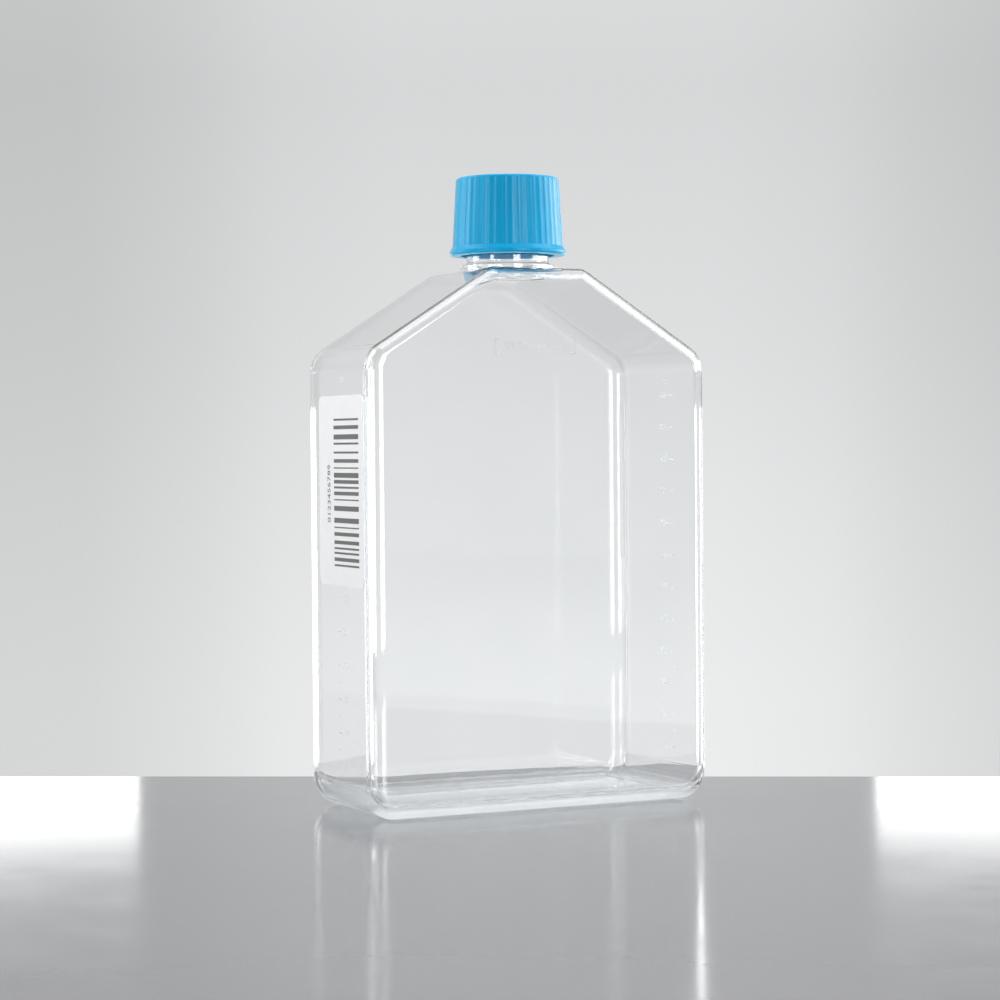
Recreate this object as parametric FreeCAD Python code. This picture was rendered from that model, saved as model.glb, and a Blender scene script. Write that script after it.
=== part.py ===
import FreeCAD, Part
import math
import os

# Cell culture flask with a screw cap. Millimetres.
# Origin: centre of the base. +Z up through the neck, X along the broad faces, Y through the thickness.
# The front broad face is at -Y and the label is on the -X side wall.

Vector = FreeCAD.Vector
UP = Vector(0, 0, 1)
CENTRE = Vector(0, 0, 0)

# ---- Vessel
body_width = 116.0
body_depth = 53.0
back_narrowing = 2.0           # draft: the back face is this much narrower than the front on each side
shoulder_height = 139.0        # where the side wall would meet the shoulder
shoulder_rise = 26.3           # from there up to the flat top that carries the neck
top_land = 1.4                 # flat top that shows on each side of the neck's collar
wall = 1.6
floor = 3.0                    # the base is thicker than the walls
base_corner_radius = 9.0       # corners of the front outline
shoulder_corner_radius = 9.0
top_corner_radius = 5.5
front_edge_radius = 4.5        # rounding along the edges of the front broad face
back_edge_radius = 5.5         # and of the back one

# ---- Neck
neck_forward = 3.0             # the neck stands this far in front of the middle of the depth
neck_radius = 12.8
neck_wall = 1.6
neck_height = 27.0             # above the flat top
rim_rounding = 0.5
collar_overhang = 1.9          # low ring round the root of the neck
collar_height = 1.8
collar_rounding = 0.6
neck_root_fillet = 1.2
bore_rounding = 2.0            # where the bore opens into the chamber

# ---- Thread, right-handed, one start
thread_lead = 4.0
thread_turns = 1.5
thread_fade_turns = 0.2        # run-out at each end
thread_fade_steps = 4
thread_height = 1.4
thread_root_share = 0.55        # width of a thread's root, as a share of the lead
thread_crest_share = 0.25
thread_flank_gap = 0.15        # under the neck's thread when the cap is tight
thread_tip_gap = 0.4           # between a crest and the wall that it faces
thread_root_overlap = 0.4      # how far a thread's root is sunk in its wall
thread_above_cap_edge = 8.5    # middle of the neck thread's lower end, above the cap's lower edge

# ---- Cap
cap_lift_off_top = 4.8         # gap between the vessel's flat top and the cap's lower edge
cap_wall = 2.60                # skirt, between the inner wall and the foot of the ribs
cap_taper = 1.40               # the skirt's radius is this much less at the top
cap_top_thickness = 1.8
cap_top_rounding = 0.9
rim_gap = 0.1                  # between the neck's rim and the cap's underside
rib_count = 44
rib_height = 0.10
rib_share = 0.66               # of the pitch, the rest is the flat groove
ring_overhang = 0.7            # flared smooth ring at the lower edge, beyond the ribs
ring_height = 2.7
ring_rounding = 0.7
plug_depth = 4.0               # seal skirt that enters the bore
plug_wall = 1.1
plug_gap = 0.06
plug_tip_chamfer = 0.5
vent_recess_beyond_plug = 0.46 # the recess in the top reaches this far outside the seal's bore
vent_recess_depth = 0.6
vent_hole_radius = 1.6
vent_hole_count = 6
vent_circle_radius = 5.6

# ---- Vent membrane
membrane_thickness = 0.3
membrane_side_gap = 0.35

# ---- Label
label_width = 36.4             # along Y
label_height = 57.5            # along Z
label_thickness = 0.15
label_below_shoulder = 12.3    # from the foot of the shoulder down to the label
label_from_edge = 0.2          # from the front edge's rounding to the label
label_corner_radius = 2.5

# ---- Worked out from the sizes above
NECK_PLACE = Vector(0, -neck_forward, 0)
top_height = shoulder_height + shoulder_rise
top_width = 2 * (neck_radius + collar_overhang + top_land)
bore_radius = neck_radius - neck_wall
rim_height = top_height + neck_height
cap_bottom = top_height + cap_lift_off_top
cap_ceiling = rim_height + rim_gap
cap_top = cap_ceiling + cap_top_thickness
cap_bore_radius = neck_radius + thread_height + thread_tip_gap
cap_foot_radius = cap_bore_radius + cap_wall
ring_radius = cap_foot_radius + rib_height + ring_overhang
plug_radius = bore_radius - plug_gap
plug_bore_radius = plug_radius - plug_wall
vent_recess_radius = plug_bore_radius + vent_recess_beyond_plug
thread_root_width = thread_lead * thread_root_share
thread_crest_width = thread_lead * thread_crest_share
thread_mid_width = (thread_root_width + thread_crest_width) / 2
neck_thread_start = cap_bottom + thread_above_cap_edge
cap_thread_start = neck_thread_start - thread_mid_width - thread_flank_gap
label_bottom = shoulder_height - label_below_shoulder - label_height


def half_width(y):
    """Half the width of the vessel's outside at a depth."""
    return body_width / 2 - back_narrowing * (y / body_depth + 0.5)


def outline(y):
    """Corners of the vessel's section at a depth as (x, z), anticlockwise from the front, with their radii."""
    half = half_width(y)
    half_top = half + (top_width - body_width) / 2
    corners = [(-half, 0), (half, 0), (half, shoulder_height),
               (half_top, top_height), (-half_top, top_height), (-half, shoulder_height)]
    radii = [base_corner_radius, base_corner_radius, shoulder_corner_radius,
             top_corner_radius, top_corner_radius, shoulder_corner_radius]
    return corners, radii


def unit(start, end):
    length = math.hypot(end[0] - start[0], end[1] - start[1])
    return (end[0] - start[0]) / length, (end[1] - start[1]) / length


def inset_outline(corners, radii, distance):
    """The same outline moved inward by a distance."""
    moved = []
    count = len(corners)
    for index, corner in enumerate(corners):
        before = unit(corners[index - 1], corner)
        after = unit(corner, corners[(index + 1) % count])
        # the corner moves along the bisector of the two inward normals
        normal = (-before[1] - after[1], before[0] + after[0])
        scale = distance * 2 / (normal[0] ** 2 + normal[1] ** 2)
        moved.append((corner[0] + normal[0] * scale, corner[1] + normal[1] * scale))
    return moved, [radius - distance for radius in radii]


def rounded_wire(corners, radii, place):
    """A closed wire of straight runs and arcs. place turns a flat point into a 3-D one."""
    count = len(corners)
    arcs = []
    for index, corner in enumerate(corners):
        before = unit(corner, corners[index - 1])
        after = unit(corner, corners[(index + 1) % count])
        half_angle = math.acos(before[0] * after[0] + before[1] * after[1]) / 2
        reach = radii[index] / math.tan(half_angle)
        bisector = unit((0, 0), (before[0] + after[0], before[1] + after[1]))
        to_middle = radii[index] / math.sin(half_angle) - radii[index]
        points = [(corner[0] + before[0] * reach, corner[1] + before[1] * reach),
                  (corner[0] + bisector[0] * to_middle, corner[1] + bisector[1] * to_middle),
                  (corner[0] + after[0] * reach, corner[1] + after[1] * reach)]
        arcs.append([place(point) for point in points])
    edges = []
    for index, arc in enumerate(arcs):
        edges.append(Part.Arc(*arc).toShape())
        edges.append(Part.LineSegment(arc[2], arcs[(index + 1) % count][0]).toShape())
    return Part.Wire(edges)


def with_true_planes(solid):
    """The same solid, with a plane under each flat face that the loft made as a spline."""
    faces = []
    for face in solid.Faces:
        plane = face.findPlane()
        if plane:
            flat = Part.Face(plane, face.OuterWire)
            if flat.normalAt(0, 0).dot(face.normalAt(0, 0)) < 0:
                flat.reverse()
            face = flat
        faces.append(face)
    return Part.Solid(Part.Shell(faces))


def rounded_body(inset, foot):
    """The vessel's outside, or its inside with an inset, from a front section to a narrower back one."""
    front = inset - body_depth / 2
    sections = []
    for y in (front, -front):
        corners, radii = inset_outline(*outline(y), inset)
        for index in (0, 1):
            corners[index] = (corners[index][0], foot)
        sections.append(rounded_wire(corners, radii, lambda point: Vector(point[0], y, point[1])))
    body = Part.makeLoft(sections, True, True)
    for y, rounding in ((front, front_edge_radius - inset), (-front, back_edge_radius - inset)):
        rim = [edge for edge in body.Edges if all(abs(vertex.Y - y) < 1e-6 for vertex in edge.Vertexes)]
        body = body.makeFillet(rounding, rim)
    return with_true_planes(body)


def turned(profile):
    """A solid turned about Z from (radius, height) points. A point with a third value is the
    middle of an arc that joins the points before and after it."""
    edges = []
    points = [Vector(point[0], 0, point[1]) for point in profile]
    count = len(points)
    for index in range(count):
        after = (index + 1) % count
        if len(profile[index]) == 3:
            continue
        if len(profile[after]) == 3:
            edges.append(Part.Arc(points[index], points[after], points[(after + 1) % count]).toShape())
        else:
            edges.append(Part.LineSegment(points[index], points[after]).toShape())
    return Part.Face(Part.Wire(edges)).revolve(CENTRE, UP, 360)


def quarter(centre_r, centre_z, radius, towards_r, towards_z):
    """Middle point of a quarter arc, for turned()."""
    reach = radius * math.sqrt(0.5)
    return centre_r + towards_r * reach, centre_z + towards_z * reach, "arc"


def thread_section(root_radius, outward, height):
    """Trapezoid section of a thread at angle 0. Its flanks run on into the wall."""
    root = root_radius - outward * thread_root_overlap
    crest = root_radius + outward * height
    flare = thread_root_overlap * (thread_root_width - thread_crest_width) / thread_height
    half_root = (thread_root_width + flare) / 2
    half_crest = thread_crest_width / 2
    return Part.makePolygon([Vector(root, 0, -half_root), Vector(crest, 0, -half_crest),
                             Vector(crest, 0, half_crest), Vector(root, 0, half_root),
                             Vector(root, 0, -half_root)])


def helical_rib(root_radius, outward, start_height):
    """A thread that stands outward (+1) or inward (-1) from a round wall, faded at both ends."""
    full_turns = thread_turns - 2 * thread_fade_turns
    path = Part.Wire(Part.makeHelix(thread_lead, thread_lead * full_turns, root_radius).Edges)
    sweep = Part.BRepOffsetAPI.MakePipeShell(path)
    sweep.setFrenetMode(True)
    sweep.add(thread_section(root_radius, outward, thread_height), False, False)
    sweep.build()
    sweep.makeSolid()
    ends = [faded_end(root_radius, outward, 0, -1), faded_end(root_radius, outward, full_turns, 1)]
    rib = sweep.shape().fuse(ends)
    rib.translate(Vector(0, 0, start_height + thread_lead * thread_fade_turns))
    rib.rotate(CENTRE, UP, 360 * thread_fade_turns)
    return rib


def faded_end(root_radius, outward, start_turn, way):
    """One run-out: the section follows the helix on while its crest sinks to just under the wall."""
    sections = []
    for step in range(thread_fade_steps + 1):
        share = step / thread_fade_steps
        height = thread_height - (thread_height + thread_root_overlap / 2) * share ** 2
        turn = start_turn + way * share * thread_fade_turns
        section = thread_section(root_radius, outward, height)
        section.rotate(CENTRE, UP, 360 * turn)
        section.translate(Vector(0, 0, thread_lead * turn))
        sections.append(section)
    return Part.makeLoft(sections, True, False)


def make_flask_body():
    outside = rounded_body(0, 0)
    inside = rounded_body(wall, floor)

    collar_radius = neck_radius + collar_overhang
    collar_top = top_height + collar_height
    sunk = top_height - wall / 2
    neck = turned([
        (0, sunk), (collar_radius, sunk), (collar_radius, collar_top - collar_rounding),
        quarter(collar_radius - collar_rounding, collar_top - collar_rounding, collar_rounding, 1, 1),
        (collar_radius - collar_rounding, collar_top),
        (neck_radius + neck_root_fillet, collar_top),
        quarter(neck_radius + neck_root_fillet, collar_top + neck_root_fillet, neck_root_fillet, -1, -1),
        (neck_radius, collar_top + neck_root_fillet),
        (neck_radius, rim_height - rim_rounding),
        quarter(neck_radius - rim_rounding, rim_height - rim_rounding, rim_rounding, 1, 1),
        (neck_radius - rim_rounding, rim_height), (0, rim_height)])

    ceiling = top_height - wall
    bore = turned([
        (0, ceiling - wall), (bore_radius + bore_rounding, ceiling - wall),
        (bore_radius + bore_rounding, ceiling),
        quarter(bore_radius + bore_rounding, ceiling + bore_rounding, bore_rounding, -1, -1),
        (bore_radius, ceiling + bore_rounding),
        (bore_radius, rim_height - rim_rounding),
        quarter(bore_radius + rim_rounding, rim_height - rim_rounding, rim_rounding, -1, 1),
        (bore_radius + rim_rounding, rim_height),
        (bore_radius + rim_rounding, rim_height + wall), (0, rim_height + wall)])

    thread = helical_rib(neck_radius, 1, neck_thread_start)
    for shape in (neck, bore, thread):
        shape.translate(NECK_PLACE)
    return outside.fuse([neck, thread]).cut([inside, bore])


def ribbed_ring(foot_radius, height):
    """Closed wire round the cap: shallow ribs with rounded crests."""
    pitch = 2 * math.pi / rib_count
    edges = []

    def at(radius, angle):
        return Vector(radius * math.cos(angle), radius * math.sin(angle), height)

    for index in range(rib_count):
        start = index * pitch
        land = start + pitch * rib_share
        edges.append(Part.Arc(at(foot_radius, start), at(foot_radius + rib_height, (start + land) / 2),
                              at(foot_radius, land)).toShape())
        edges.append(Part.Arc(at(foot_radius, land), at(foot_radius, (start + pitch + land) / 2),
                              at(foot_radius, start + pitch)).toShape())
    return Part.Wire(edges)


def make_screw_cap():
    skirt = Part.makeLoft([ribbed_ring(cap_foot_radius, cap_bottom),
                           ribbed_ring(cap_foot_radius - cap_taper, cap_top)], True, True)
    # the rounded top edge trims the ribs
    trim_radius = cap_foot_radius + rib_height - cap_taper
    envelope_radius = ring_radius + 1
    crown = turned([
        (0, cap_bottom), (envelope_radius, cap_bottom),
        (envelope_radius, cap_top - cap_top_rounding * 2),
        (trim_radius, cap_top - cap_top_rounding),
        quarter(trim_radius - cap_top_rounding, cap_top - cap_top_rounding, cap_top_rounding, 1, 1),
        (trim_radius - cap_top_rounding, cap_top), (0, cap_top)])
    skirt = skirt.common(crown)

    shoulder = cap_bottom + ring_height
    rib_foot = cap_foot_radius - cap_taper
    ring = turned([
        (cap_bore_radius, cap_bottom), (ring_radius - ring_rounding, cap_bottom),
        quarter(ring_radius - ring_rounding, cap_bottom + ring_rounding, ring_rounding, 1, -1),
        (ring_radius, cap_bottom + ring_rounding),
        (ring_radius, cap_bottom + ring_height / 2),
        (cap_foot_radius + rib_height, shoulder), (rib_foot, shoulder), (cap_bore_radius, shoulder)])

    hollow = Part.makeCylinder(cap_bore_radius, cap_ceiling - cap_bottom, Vector(0, 0, cap_bottom))
    recess = Part.makeCylinder(vent_recess_radius, vent_recess_depth + 1,
                               Vector(0, 0, cap_top - vent_recess_depth))
    holes = []
    for index in range(vent_hole_count):
        angle = 2 * math.pi * index / vent_hole_count
        centre = Vector(vent_circle_radius * math.cos(angle), vent_circle_radius * math.sin(angle),
                        cap_ceiling - 1)
        holes.append(Part.makeCylinder(vent_hole_radius, cap_top_thickness + 2, centre))

    plug_tip = cap_ceiling - plug_depth
    plug = turned([
        (plug_bore_radius, cap_ceiling + vent_recess_depth), (plug_bore_radius, plug_tip),
        (plug_radius - plug_tip_chamfer, plug_tip), (plug_radius, plug_tip + 2 * plug_tip_chamfer),
        (plug_radius, cap_ceiling + vent_recess_depth)])

    thread = helical_rib(cap_bore_radius, -1, cap_thread_start)
    return skirt.fuse(ring).cut([hollow, recess] + holes).fuse([plug, thread])


def make_vent_membrane():
    radius = plug_bore_radius - membrane_side_gap
    return Part.makeCylinder(radius, membrane_thickness, Vector(0, 0, cap_ceiling - membrane_thickness))


def make_side_label():
    front = -body_depth / 2 + front_edge_radius + label_from_edge
    back = front + label_width
    top = label_bottom + label_height
    corners = [(front, label_bottom), (back, label_bottom), (back, top), (front, top)]
    wire = rounded_wire(corners, [label_corner_radius] * 4,
                        lambda point: Vector(-half_width(point[0]), point[0], point[1]))
    outward = Vector(-1, back_narrowing / body_depth, 0)
    return Part.Face(wire).extrude(outward.normalize() * label_thickness)


def main():
    os.makedirs("parts", exist_ok=True)
    pieces = {
        "flask_body": make_flask_body(),
        "screw_cap": make_screw_cap(),
        "vent_membrane": make_vent_membrane(),
        "side_label": make_side_label(),
    }
    for name in ("screw_cap", "vent_membrane"):
        pieces[name].translate(NECK_PLACE)
    for name, shape in pieces.items():
        if len(shape.Solids) != 1 or not shape.isValid():
            raise ValueError(f"{name} is not one valid solid")
        shape.Solids[0].exportStep(f"parts/{name}.step")
        print(name, round(shape.Volume / 1000, 3), "cm3")


main()
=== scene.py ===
"""Looks of the cell culture flask. Metres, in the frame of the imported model."""
import math

import bmesh
import bpy
from mathutils import Matrix, Vector


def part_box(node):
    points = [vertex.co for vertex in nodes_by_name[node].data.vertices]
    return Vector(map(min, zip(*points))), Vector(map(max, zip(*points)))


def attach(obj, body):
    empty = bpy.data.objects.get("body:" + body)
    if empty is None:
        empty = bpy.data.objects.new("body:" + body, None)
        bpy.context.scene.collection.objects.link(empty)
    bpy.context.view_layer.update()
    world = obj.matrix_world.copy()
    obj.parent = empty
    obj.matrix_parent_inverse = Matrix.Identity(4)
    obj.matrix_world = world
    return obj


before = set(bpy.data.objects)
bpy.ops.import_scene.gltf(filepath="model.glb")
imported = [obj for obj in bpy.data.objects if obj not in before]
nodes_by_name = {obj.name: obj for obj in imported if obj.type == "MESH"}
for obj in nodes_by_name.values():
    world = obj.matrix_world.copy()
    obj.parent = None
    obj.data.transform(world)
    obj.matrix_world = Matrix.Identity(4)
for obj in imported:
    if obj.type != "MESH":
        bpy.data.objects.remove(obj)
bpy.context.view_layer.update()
scene = bpy.context.scene
MM = 0.001


# ---- Camera, at the photograph's viewing angle
CAMERA_PLACE = Vector((-0.38383, -0.75836, 0.11098))
CAMERA_AZIMUTH = math.atan2(CAMERA_PLACE.y, CAMERA_PLACE.x)
CAMERA_TURN = 26.737         # degrees to the right of +Y
CAMERA_RISE = -1.131         # degrees, so it looks down a little
CAMERA_ROLL = 0.4515
LENS = 97.95                 # focal length for a 36 mm sensor


def studio_camera():
    yaw, pitch, roll = (math.radians(angle) for angle in (CAMERA_TURN, CAMERA_RISE, CAMERA_ROLL))
    forward = Vector((math.sin(yaw) * math.cos(pitch), math.cos(yaw) * math.cos(pitch), math.sin(pitch)))
    level_right = Vector((math.cos(yaw), -math.sin(yaw), 0))
    level_up = level_right.cross(forward)
    right = level_right * math.cos(roll) - level_up * math.sin(roll)
    up = level_right * math.sin(roll) + level_up * math.cos(roll)
    data = bpy.data.cameras.new("studio_camera")
    data.sensor_width = 36
    data.lens = LENS
    data.clip_start = 0.05
    camera = bpy.data.objects.new("studio_camera", data)
    turn = Matrix((right, up, -forward)).transposed().to_4x4()
    camera.matrix_world = Matrix.Translation(CAMERA_PLACE) @ turn
    scene.collection.objects.link(camera)
    scene.camera = camera


studio_camera()


# ---- Node helpers
class Shader:
    """Short names for the nodes of one material or world."""

    def __init__(self, owner):
        owner.use_nodes = True
        self.tree = owner.node_tree
        self.tree.nodes.clear()

    def node(self, kind, inputs=None, **settings):
        made = self.tree.nodes.new(kind)
        for name, value in settings.items():
            setattr(made, name, value)
        for name, value in (inputs or {}).items():
            if isinstance(value, bpy.types.NodeSocket):
                self.tree.links.new(value, made.inputs[name])
            else:
                made.inputs[name].default_value = value
        return made

    def noise(self, scale, detail=2.0, rough=0.5, stretch=None):
        place = self.node("ShaderNodeTexCoord").outputs["Object"]
        if stretch:
            place = self.node("ShaderNodeMapping", {"Vector": place, "Scale": stretch}).outputs[0]
        found = self.node("ShaderNodeTexNoise", {"Vector": place, "Scale": scale, "Detail": detail,
                                                 "Roughness": rough})
        return found.outputs["Fac"]

    def ramp(self, factor, stops, mode="LINEAR"):
        made = self.node("ShaderNodeValToRGB", {"Fac": factor})
        made.color_ramp.interpolation = mode
        points = made.color_ramp.elements
        while len(points) < len(stops):
            points.new(0.5)
        for point, (position, colour) in zip(points, stops):
            point.position = position
            point.color = (*colour, 1) if len(colour) == 3 else colour
        return made.outputs["Color"]

    def spread(self, factor, low, high, start=0.3, end=0.7):
        """A noise value turned into a number between low and high."""
        return self.node("ShaderNodeMapRange", {"Value": factor, "From Min": start, "From Max": end,
                                                "To Min": low, "To Max": high}).outputs[0]

    def bump(self, height, strength, distance, normal=None):
        inputs = {"Height": height, "Strength": strength, "Distance": distance}
        if normal:
            inputs["Normal"] = normal
        return self.node("ShaderNodeBump", inputs).outputs["Normal"]

    def principled(self, **inputs):
        return self.node("ShaderNodeBsdfPrincipled", {k.replace("_", " "): v for k, v in inputs.items()})

    def seen_ray(self):
        """1 for what the camera, a reflection or a clear wall shows, and 0 for diffuse light."""
        path = self.node("ShaderNodeLightPath").outputs
        either = self.node("ShaderNodeMath", {0: path["Is Camera Ray"], 1: path["Is Glossy Ray"]},
                           operation="MAXIMUM").outputs[0]
        return self.node("ShaderNodeMath", {0: either, 1: path["Is Transmission Ray"]},
                         operation="MAXIMUM").outputs[0]

    def output(self, surface, kind="ShaderNodeOutputMaterial"):
        self.node(kind, {"Surface": surface})


def material(name):
    made = bpy.data.materials.new(name)
    return made, Shader(made)


def grey(level):
    return (level, level, level)


# ---- Materials
def clear_plastic():
    made, s = material("clear_polystyrene")
    tint = s.ramp(s.noise(30, 3), [(0.3, (0.965, 0.975, 0.98)), (0.7, (0.985, 0.99, 0.992))])
    rough = s.spread(s.noise(70, 5, 0.6), 0.006, 0.03)
    waves = s.noise(22, 1.0, 0.4)
    fine = s.noise(900, 2.0, 0.6)
    normal = s.bump(fine, 0.012, 0.0002, s.bump(waves, 0.05, 0.002))
    glass = s.principled(Base_Color=tint, Roughness=rough, Normal=normal, IOR=1.58, Transmission_Weight=1.0)
    # a thin pale diffuse and translucent band on the rim at the foot, mostly along the front: a painted
    # highlight standing in for light that runs inside the base and out at the rim
    place = s.node("ShaderNodeSeparateXYZ", {0: s.node("ShaderNodeTexCoord").outputs["Object"]}).outputs
    low = s.ramp(s.spread(place["Z"], 0, 1, 0, 5 * MM), [(0.0, grey(0.12)), (0.12, grey(0.55)),
                                                         (0.5, grey(0.5)), (0.9, grey(0.0))])
    front = s.spread(place["Y"], 1.0, 0.25, -23 * MM, -17 * MM)
    painted_rim_highlight = s.node("ShaderNodeMath", {0: low, 1: front}, operation="MULTIPLY").outputs[0]
    pale = s.node("ShaderNodeMixShader", {0: 0.5,
                                          1: s.node("ShaderNodeBsdfDiffuse", {"Color": tint}).outputs[0],
                                          2: s.node("ShaderNodeBsdfTranslucent", {"Color": tint}).outputs[0]})
    # the painted highlight band is mixed into the clear plastic here
    glass = s.node("ShaderNodeMixShader", {0: painted_rim_highlight, 1: glass.outputs[0], 2: pale.outputs[0]})
    clear = s.node("ShaderNodeBsdfTransparent", {"Color": (0.90, 0.92, 0.93, 1)})
    shadow = s.node("ShaderNodeLightPath").outputs["Is Shadow Ray"]
    s.output(s.node("ShaderNodeMixShader", {0: shadow, 1: glass.outputs[0], 2: clear.outputs[0]}).outputs[0])
    return made


def cap_plastic():
    made, s = material("blue_polyethylene")
    cloud = s.noise(60, 4, 0.55)
    tint = s.ramp(cloud, [(0.3, (0.0, 0.365, 0.67)), (0.7, (0.001, 0.395, 0.72))])
    rough = s.spread(s.noise(350, 3, 0.6), 0.18, 0.26)
    flow = s.noise(260, 3, 0.5, stretch=(1, 1, 0.12))
    normal = s.bump(s.noise(2600, 2, 0.6), 0.06, 0.0002, s.bump(flow, 0.12, 0.0003))
    plastic = s.principled(Base_Color=tint, Roughness=rough, Normal=normal, IOR=1.51,
                           Specular_IOR_Level=0.15, Sheen_Weight=0.5, Sheen_Roughness=0.4,
                           Sheen_Tint=(0.4, 0.92, 0.95, 1), Subsurface_Weight=0.2,
                           Subsurface_Radius=(0.2, 0.7, 1.0), Subsurface_Scale=0.002)
    s.output(plastic.outputs[0])
    return made


def filter_cloth():
    made, s = material("filter_membrane")
    fibres = s.noise(2400, 6, 0.7)
    tint = s.ramp(fibres, [(0.3, (0.80, 0.80, 0.78)), (0.7, (0.90, 0.90, 0.88))])
    s.output(s.principled(Base_Color=tint, Roughness=0.9,
                          Normal=s.bump(fibres, 0.4, 0.0001)).outputs[0])
    return made


def label_paper():
    made, s = material("label_paper")
    fibres = s.noise(1500, 5, 0.65)
    tint = s.ramp(s.noise(120, 3), [(0.3, (0.90, 0.905, 0.91)), (0.7, (0.93, 0.93, 0.93))])
    paper = s.principled(Base_Color=tint, Roughness=s.spread(fibres, 0.42, 0.58),
                         Normal=s.bump(fibres, 0.12, 0.00005))
    # the back lies right on the clear wall, and shows the light that falls through the sheet
    lit_through = s.node("ShaderNodeBsdfTranslucent", {"Color": tint})
    inner = s.node("ShaderNodeNewGeometry").outputs["Backfacing"]
    s.output(s.node("ShaderNodeMixShader", {0: inner, 1: paper.outputs[0],
                                            2: lit_through.outputs[0]}).outputs[0])
    return made


def ink(name, low, high, speckle=3000, thin=0.0):
    made, s = material(name)
    patches = s.noise(speckle, 4, 0.7)
    surface = s.principled(Base_Color=s.ramp(patches, [(0.35, low), (0.65, high)]),
                           Roughness=s.spread(patches, 0.35, 0.55)).outputs[0]
    if thin:
        clear = s.node("ShaderNodeBsdfTransparent").outputs[0]
        surface = s.node("ShaderNodeMixShader", {0: thin, 1: surface, 2: clear}).outputs[0]
    s.output(surface)
    return made


MATERIALS = {
    "flask_body": clear_plastic(),
    "screw_cap": cap_plastic(),
    "vent_membrane": filter_cloth(),
    "side_label": label_paper(),
}
white_ink = ink("white_ink", grey(0.84), grey(0.93), thin=0.35)
black_ink = ink("black_ink", grey(0.085), grey(0.13))


def dress(node, look):
    node.data.materials.clear()
    node.data.materials.append(look)


for name, look in MATERIALS.items():
    dress(nodes_by_name[name], look)


# ---- Printed marks
def bar(centre_u, centre_v, width, height):
    """A flat rectangle as four corners."""
    half_u, half_v = width / 2, height / 2
    return [(centre_u - half_u, centre_v - half_v), (centre_u + half_u, centre_v - half_v),
            (centre_u + half_u, centre_v + half_v), (centre_u - half_u, centre_v + half_v)]


def glyphs(text, size, move, turn=0.0, spacing=1.0, across="LEFT"):
    """The flat mesh of a line of plain figures, and where it goes."""
    curve = bpy.data.curves.new("figures", "FONT")
    curve.body = text
    curve.size = size
    curve.space_character = spacing
    curve.align_x = across
    curve.align_y = "CENTER"
    curve.resolution_u = 3
    holder = bpy.data.objects.new("figures", curve)
    scene.collection.objects.link(holder)
    bpy.context.view_layer.update()
    flat = bpy.data.meshes.new_from_object(holder.evaluated_get(bpy.context.evaluated_depsgraph_get()))
    bpy.data.objects.remove(holder)
    bpy.data.curves.remove(curve)
    flat.transform(Matrix.Translation((*move, 0)) @ Matrix.Rotation(turn, 4, "Z"))
    return flat


def printed(name, place, bars, figures, thickness, look, body):
    """One ink piece on a wall. place takes flat (u, v, height above the wall) to the frame."""
    bm = bmesh.new()
    for corners in bars:
        bm.faces.new([bm.verts.new((u, v, 0)) for u, v in corners])
    for flat in figures:
        bm.from_mesh(flat)
        bpy.data.meshes.remove(flat)
    raised = bmesh.ops.extrude_face_region(bm, geom=bm.faces[:])
    tops = [item for item in raised["geom"] if isinstance(item, bmesh.types.BMVert)]
    bmesh.ops.translate(bm, verts=tops, vec=(0, 0, thickness))
    bmesh.ops.recalc_face_normals(bm, faces=bm.faces[:])
    bm.transform(place)
    mesh = bpy.data.meshes.new(name)
    bm.to_mesh(mesh)
    bm.free()
    mesh.materials.append(look)
    piece = bpy.data.objects.new(name, mesh)
    scene.collection.objects.link(piece)
    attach(piece, body)


def wall(across, normal, origin):
    """Matrix of a wall: u runs across it, v runs up it, and the third axis points out of it."""
    return Matrix.Translation(origin) @ Matrix((across, (0, 0, 1), normal)).transposed().to_4x4()


DRAFT = 2 / 53               # the side walls lean in this much towards the back
HALF_FRONT = 58 * MM
body_low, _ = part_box("flask_body")
label_low, label_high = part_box("side_label")

STEP = 10.24 * MM            # height of 50 ml
FIRST = 14.3 * MM            # height of the lowest mark
MARKS = 12
MARKS_WITH_MIDWAY = 3        # the lowest steps have a short mark midway
INK_GAP = 0.02 * MM          # keeps ink and wall faces from coinciding
INK_THICKNESS = 0.02 * MM
SCALE_MIDDLE = -3.5 * MM     # depth of the scales' middle line


def side_wall(side, y, lift):
    """Matrix of the left (-1) or right (1) side wall, with its origin at a depth y."""
    normal = Vector((side, DRAFT, 0)).normalized()
    across = Vector((0, 0, 1)).cross(normal)
    half = HALF_FRONT - DRAFT * (y - body_low.y)
    return wall(across, normal, Vector((side * half, y, 0)) + normal * lift)


def graduations(name, place, hidden=None):
    """Marks and figures for every 50 ml. hidden is the range of heights that the label covers."""
    bars, figures = [], []
    for count in range(MARKS):
        height = FIRST + count * STEP
        if not (hidden and hidden[0] < height < hidden[1]):
            bars.append(bar(-2.1 * MM, height, 3.0 * MM, 0.42 * MM))
            figures.append(glyphs(str(50 * (count + 1)), 3.0 * MM, (0.1 * MM, height)))
        if count < MARKS_WITH_MIDWAY:
            bars.append(bar(-2.7 * MM, height + STEP / 2, 1.8 * MM, 0.3 * MM))
    top = FIRST + (MARKS - 1) * STEP + 4.6 * MM
    figures.append(glyphs("ml", 3.2 * MM, (-0.6 * MM, top)))
    printed(name, place, bars, figures, INK_THICKNESS, white_ink, "flask")


graduations("scale_left", side_wall(-1, SCALE_MIDDLE, INK_GAP),
            hidden=(label_low.z - 2 * MM, label_high.z + 1 * MM))
graduations("scale_right", side_wall(1, SCALE_MIDDLE, INK_GAP))

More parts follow.
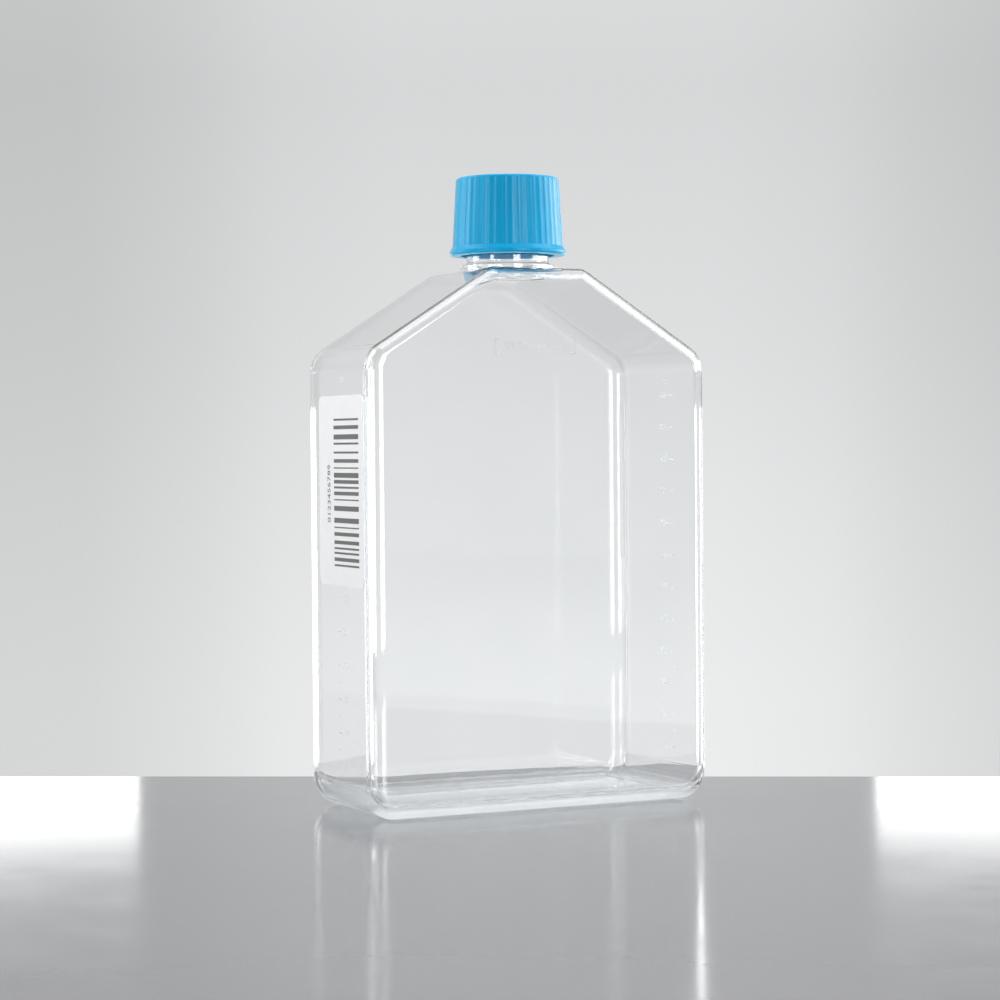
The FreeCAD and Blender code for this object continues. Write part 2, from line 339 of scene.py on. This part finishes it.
FRONT_MARK = (-2.8 * MM, body_low.y - INK_GAP, 141.2 * MM)
front = wall((1, 0, 0), (0, -1, 0), FRONT_MARK)
marks = []                   # two brackets, two blocks and a row of dashes
for side in (-1, 1):
    edge = side * 13.6 * MM
    marks.append(bar(edge, 0, 0.5 * MM, 4.6 * MM))
    for end in (-1, 1):
        marks.append(bar(edge - side * 0.7 * MM, end * 2.05 * MM, 1.4 * MM, 0.5 * MM))
marks += [bar(-9.2 * MM, 0, 3.4 * MM, 2.2 * MM), bar(-4.4 * MM, 0, 3.4 * MM, 2.2 * MM)]
marks += [bar(x * MM, 0, 2.2 * MM, 0.9 * MM) for x in (0.6, 4.0, 7.4, 10.4)]
printed("front_mark", front, marks, [], INK_THICKNESS, white_ink, "flask")


# ---- Print on the label
LABEL_THICKNESS = 0.15 * MM
PRINT_THICKNESS = 0.015 * MM
label_face = side_wall(-1, 0, LABEL_THICKNESS + INK_GAP)
# widths of the bars from the top down, and of the gaps under them, in millimetres
WIDTHS = (0.6, 1.1, 1.5, 0.6, 0.6, 1.1, 0.4, 1.5, 1.1, 0.6, 1.1,
          0.4, 1.5, 1.5, 0.4, 1.1, 1.1, 0.6, 0.6, 1.1, 0.6)
GAPS = (1.4, 1.5, 0.9, 2.0, 1.6, 1.3, 1.2, 0.6, 0.8, 0.9,
        1.1, 1.6, 2.0, 1.1, 1.2, 1.3, 0.9, 0.8, 1.0, 0.9)
BARS_TOP, BARS_SPAN, BAR_LENGTH, BARS_MIDDLE = 119.7, 44.7, 20.2, 7.9
stretch = BARS_SPAN / (sum(WIDTHS) + sum(GAPS))
bars, edge = [], BARS_TOP
for width, gap in zip(WIDTHS, (*GAPS, 0)):
    bars.append(bar(BARS_MIDDLE * MM, (edge - width / 2) * MM, BAR_LENGTH * MM, width * MM))
    edge -= (width + gap) * stretch
digits = glyphs("0123456789", 3.4 * MM, (-6.3 * MM, 97 * MM), math.radians(90), 1.05, "CENTER")
printed("label_bars", label_face, bars, [], PRINT_THICKNESS, black_ink, "flask")
printed("label_digits", label_face, [], [digits], PRINT_THICKNESS, black_ink, "flask")


# ---- Table and floor
TABLE_TURN = math.radians(-30.5)
ALONG = Vector((math.cos(TABLE_TURN), math.sin(TABLE_TURN), 0))
TOWARDS = Vector((ALONG.y, -ALONG.x, 0))          # from the table's far edge to the camera's side
FAR = Vector((0.0279, 0.0607, 0))                 # middle of the far edge
EDGE_ROUNDING = 1.5 * MM


def slab(name, side, reach, top, thick, look):
    """A level slab that ends a little behind the flask and reaches to both sides and forwards."""
    bm = bmesh.new()
    start = FAR + Vector((0, 0, top))
    corners = [start - ALONG * side, start + ALONG * side,
               start + ALONG * side + TOWARDS * reach, start - ALONG * side + TOWARDS * reach]
    made = bmesh.ops.extrude_face_region(bm, geom=[bm.faces.new([bm.verts.new(c) for c in corners])])
    lower = [item for item in made["geom"] if isinstance(item, bmesh.types.BMVert)]
    bmesh.ops.translate(bm, verts=lower, vec=(0, 0, -thick))
    bmesh.ops.recalc_face_normals(bm, faces=bm.faces[:])
    bmesh.ops.bevel(bm, geom=bm.edges[:], offset=EDGE_ROUNDING, segments=3, affect="EDGES")
    mesh = bpy.data.meshes.new(name)
    bm.to_mesh(mesh)
    bm.free()
    mesh.materials.append(look)
    piece = bpy.data.objects.new(name, mesh)
    scene.collection.objects.link(piece)


def laminate(name, low, high, rough_low, rough_high):
    look, s = material(name)
    tint = s.ramp(s.noise(9, 4, 0.6), [(0.3, low), (0.7, high)])
    s.output(s.principled(Base_Color=tint, Roughness=s.spread(s.noise(40, 4, 0.6), rough_low, rough_high),
                          IOR=1.5, Normal=s.bump(s.noise(500, 2), 0.02, 0.0002)).outputs[0])
    return look


def pale_floor():
    """Half lit, so that it keeps shadows, and half an even pale grey to the eye and in reflections."""
    look, s = material("pale_floor")
    tint = s.ramp(s.noise(5, 4, 0.6), [(0.3, (0.81, 0.815, 0.82)), (0.7, (0.84, 0.845, 0.85))])
    cloth = s.principled(Base_Color=tint, Roughness=0.9, Specular_IOR_Level=0.0)
    shown = s.node("ShaderNodeEmission", {"Color": tint, "Strength": 1.0})
    half = s.node("ShaderNodeMath", {0: s.seen_ray(), 1: 0.5}, operation="MULTIPLY").outputs[0]
    s.output(s.node("ShaderNodeMixShader", {0: half, 1: cloth.outputs[0],
                                            2: shown.outputs[0]}).outputs[0])
    return look


TABLE_GAP = 0.3 * MM         # air under the base, so that light runs inside it
TABLE_THICKNESS = 0.03
slab("table_top", 0.27, 0.42, -TABLE_GAP, TABLE_THICKNESS,
     laminate("table_laminate", (0.175, 0.178, 0.185), (0.19, 0.193, 0.20), 0.10, 0.15))
slab("floor", 2.2, 2.6, -TABLE_THICKNESS, 0.02, pale_floor())


# ---- Light
def backdrop():
    """A pale studio backdrop as a world: brightest low behind the flask, a little darker round it."""
    world = bpy.data.worlds.new("studio")
    scene.world = world
    s = Shader(world)
    direction = s.node("ShaderNodeTexCoord").outputs["Generated"]
    height = s.node("ShaderNodeSeparateXYZ", {0: direction}).outputs["Z"]
    level = s.spread(height, 0, 1, -1, 1)
    tone = s.ramp(level, [(0.0, (0.42, 0.425, 0.43)), (0.32, (0.62, 0.625, 0.63)),
                          (0.42, (0.845, 0.85, 0.855)),
                          (0.455, (0.835, 0.84, 0.845)), (0.49, (0.785, 0.79, 0.795)),
                          (0.52, (0.73, 0.735, 0.74)), (0.565, (0.675, 0.68, 0.685)),
                          (0.64, (0.78, 0.785, 0.79)), (1.0, (0.98, 0.985, 0.99))])
    across = s.node("ShaderNodeVectorMath", {0: direction, 1: (0.893, -0.450, 0)}, operation="DOT_PRODUCT")
    apart = s.node("ShaderNodeMath", {0: across.outputs["Value"], 1: 0.02}, operation="SUBTRACT")
    apart = s.node("ShaderNodeMath", {0: apart.outputs[0]}, operation="ABSOLUTE")
    side = s.ramp(apart.outputs[0], [(0.06, grey(1.0)), (0.10, grey(0.96)), (0.13, grey(0.88)),
                                     (0.17, grey(0.805)), (0.25, grey(0.79)), (0.45, grey(0.93))])
    seen = s.node("ShaderNodeBackground", {"Color": tone, "Strength": side})
    plain = s.node("ShaderNodeBackground", {"Color": (0.98, 0.99, 1.0, 1), "Strength": 0.54})
    s.output(s.node("ShaderNodeMixShader", {0: s.seen_ray(), 1: plain.outputs[0],
                                            2: seen.outputs[0]}).outputs[0], "ShaderNodeOutputWorld")


def area_lamp(name, place, aim, size, radiance):
    """A rectangular light of a width and a height that shines along a direction."""
    data = bpy.data.lights.new(name, "AREA")
    data.shape = "RECTANGLE"
    data.size, data.size_y = size
    data.energy = radiance * math.pi * data.size * data.size_y
    lamp = bpy.data.objects.new(name, data)
    lamp.location = place
    lamp.rotation_euler = aim.to_track_quat("-Z", "Y").to_euler()
    lamp.visible_camera = False
    scene.collection.objects.link(lamp)
    return lamp


def softbox(name, turns, distance, heights, radiance):
    """An upright card that fills a range of directions and heights round the flask.

    The directions are degrees from the camera's side of the flask, right-hand side positive.
    The card shows in gloss and in clear walls only: high softboxes and the world light what is matt.
    """
    angle = CAMERA_AZIMUTH + math.radians(sum(turns) / 2)
    outwards = Vector((math.cos(angle), math.sin(angle), 0))
    size = 2 * distance * math.tan(math.radians(turns[1] - turns[0]) / 2), heights[1] - heights[0]
    place = outwards * distance + Vector((0, 0, sum(heights) / 2))
    area_lamp(name, place, -outwards, size, radiance).visible_diffuse = False


def high_softbox(name, turn, lift, distance, size, radiance):
    """A square light high up on one side, aimed at the flask's middle."""
    angle, rise = CAMERA_AZIMUTH + math.radians(turn), math.radians(lift)
    away = Vector((math.cos(angle) * math.cos(rise), math.sin(angle) * math.cos(rise), math.sin(rise)))
    area_lamp(name, Vector((0, 0, 0.1)) + away * distance, -away, (size, size), radiance)


backdrop()
softbox("softbox_left", (-113, -94), 1.1, (0.22, 0.60), 5.5)
softbox("softbox_right", (76, 144), 1.1, (0.22, 0.42), 5.5)
softbox("strip_left", (-50, -41), 1.1, (0.20, 0.80), 8.0)
softbox("strip_right", (17, 36), 1.1, (0.20, 0.80), 8.0)
softbox("low_strip_left", (-49, -24), 1.1, (-0.15, 0.19), 6.5)
softbox("low_strip_right", (17, 42), 1.1, (-0.15, 0.19), 6.5)
softbox("low_side", (-88, -52), 1.1, (-0.15, 0.13), 1.2)
softbox("panel_left", (-165, -150), 0.9, (-0.09, 0.135), 2.5)
softbox("panel_right", (150, 165), 0.9, (-0.09, 0.135), 2.5)
high_softbox("high_left", -90, 35, 1.4, 1.1, 2.8)
high_softbox("high_right", 90, 35, 1.4, 1.1, 3.4)
high_softbox("softbox_top", 0, 90, 1.3, 0.9, 2.2)

scene.view_settings.view_transform = "Standard"
scene.cycles.max_bounces = 64
scene.cycles.transmission_bounces = 64
scene.cycles.transparent_max_bounces = 32
scene.cycles.glossy_bounces = 64
scene.cycles.diffuse_bounces = 3
